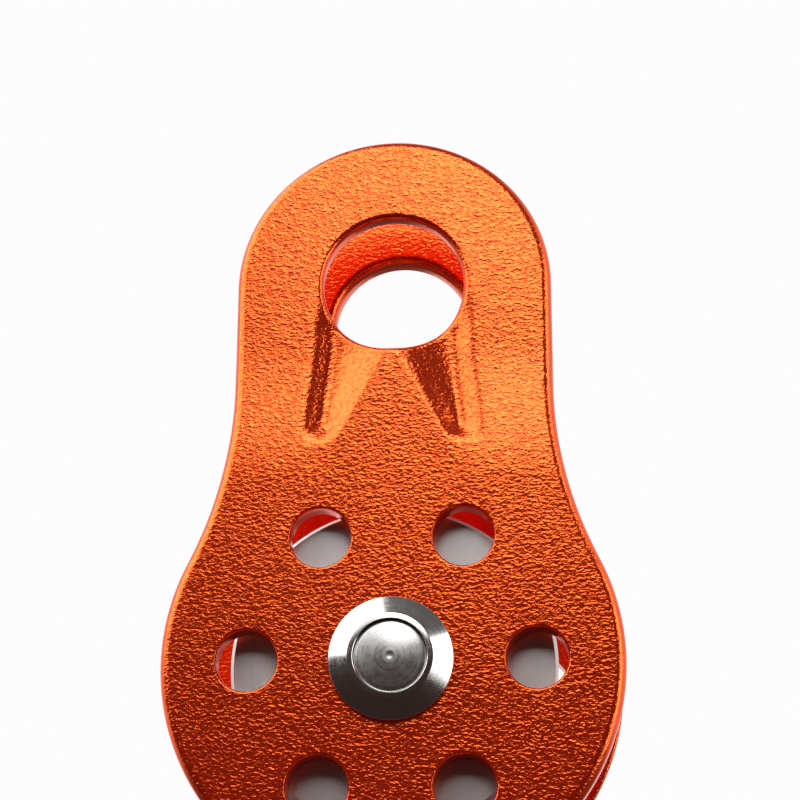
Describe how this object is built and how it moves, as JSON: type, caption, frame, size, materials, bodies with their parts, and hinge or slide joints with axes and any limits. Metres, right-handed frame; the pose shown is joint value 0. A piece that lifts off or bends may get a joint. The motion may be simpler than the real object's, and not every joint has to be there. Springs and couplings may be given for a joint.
{
  "type": "rope pulley",
  "caption": "Rope pulley with two pressed swinging side plates around a grooved wheel on ball bearings, hung by a carabiner through a round eye.",
  "frame": {"origin": "centre of the carabiner eye, midway between the two side plates", "axes": "+Z from the axle up through the eye, Y along the axle with the front plate on the -Y side, X across the plates"},
  "size_m": [0.07, 0.0302, 0.1208],
  "materials": {
    "anodised_plate": "orange anodised over a fine leather-like blasted grain, smooth rounded edges",
    "sheave_alloy": "turned aluminium, satin, fine lathe rings",
    "axle_steel": "stainless steel, turned, riveted and faced end",
    "polished_steel": "stainless steel, finely turned and bright",
    "washer_steel": "ground steel",
    "ring_steel": "ground bearing steel",
    "ball_steel": "polished bearing steel",
    "cage_steel": "pressed sheet steel",
    "shield_steel": "pressed sheet steel, satin"
  },
  "bodies": {
    "rear_frame": {"rear_side_plate": "anodised_plate", "axle": "axle_steel", "front_cone_washer": "polished_steel", "rear_cone_washer": "polished_steel", "front_thrust_washer": "washer_steel", "rear_thrust_washer": "washer_steel", "centre_spacer": "washer_steel", "front_bearing_inner_ring": "ring_steel", "rear_bearing_inner_ring": "ring_steel"},
    "front_plate": {"front_side_plate": "anodised_plate"},
    "wheel": {"sheave": "sheave_alloy", "front_bearing_outer_ring": "ring_steel", "front_bearing_front_shield": "shield_steel", "front_bearing_rear_shield": "shield_steel", "rear_bearing_outer_ring": "ring_steel", "rear_bearing_front_shield": "shield_steel", "rear_bearing_rear_shield": "shield_steel"},
    "front_ball_set": {"front_bearing_cage": "cage_steel", "front_bearing_ball_1": "ball_steel", "front_bearing_ball_2": "ball_steel", "front_bearing_ball_3": "ball_steel", "front_bearing_ball_4": "ball_steel", "front_bearing_ball_5": "ball_steel", "front_bearing_ball_6": "ball_steel", "front_bearing_ball_7": "ball_steel", "front_bearing_ball_8": "ball_steel", "front_bearing_ball_9": "ball_steel"},
    "rear_ball_set": {"rear_bearing_cage": "cage_steel", "rear_bearing_ball_1": "ball_steel", "rear_bearing_ball_2": "ball_steel", "rear_bearing_ball_3": "ball_steel", "rear_bearing_ball_4": "ball_steel", "rear_bearing_ball_5": "ball_steel", "rear_bearing_ball_6": "ball_steel", "rear_bearing_ball_7": "ball_steel", "rear_bearing_ball_8": "ball_steel", "rear_bearing_ball_9": "ball_steel"}
  },
  "joints": [
    {"name": "wheel_spin", "type": "hinge", "parent": "rear_frame", "child": "wheel", "pos_m": [0, 0, -0.0608], "axis": [0, 1, 0], "continuous": true},
    {"name": "front_ball_orbit", "type": "hinge", "parent": "rear_frame", "child": "front_ball_set", "pos_m": [0, 0, -0.0608], "axis": [0, 1, 0], "continuous": true},
    {"name": "rear_ball_orbit", "type": "hinge", "parent": "rear_frame", "child": "rear_ball_set", "pos_m": [0, 0, -0.0608], "axis": [0, 1, 0], "continuous": true},
    {"name": "front_plate_swing", "type": "hinge", "parent": "rear_frame", "child": "front_plate", "pos_m": [0, 0, -0.0608], "axis": [0, 1, 0], "continuous": true}
  ],
  "couplings": [
    {"joint": "front_ball_orbit", "follows": "wheel_spin", "ratio": 0.5992},
    {"joint": "rear_ball_orbit", "follows": "wheel_spin", "ratio": 0.5992}
  ]
}
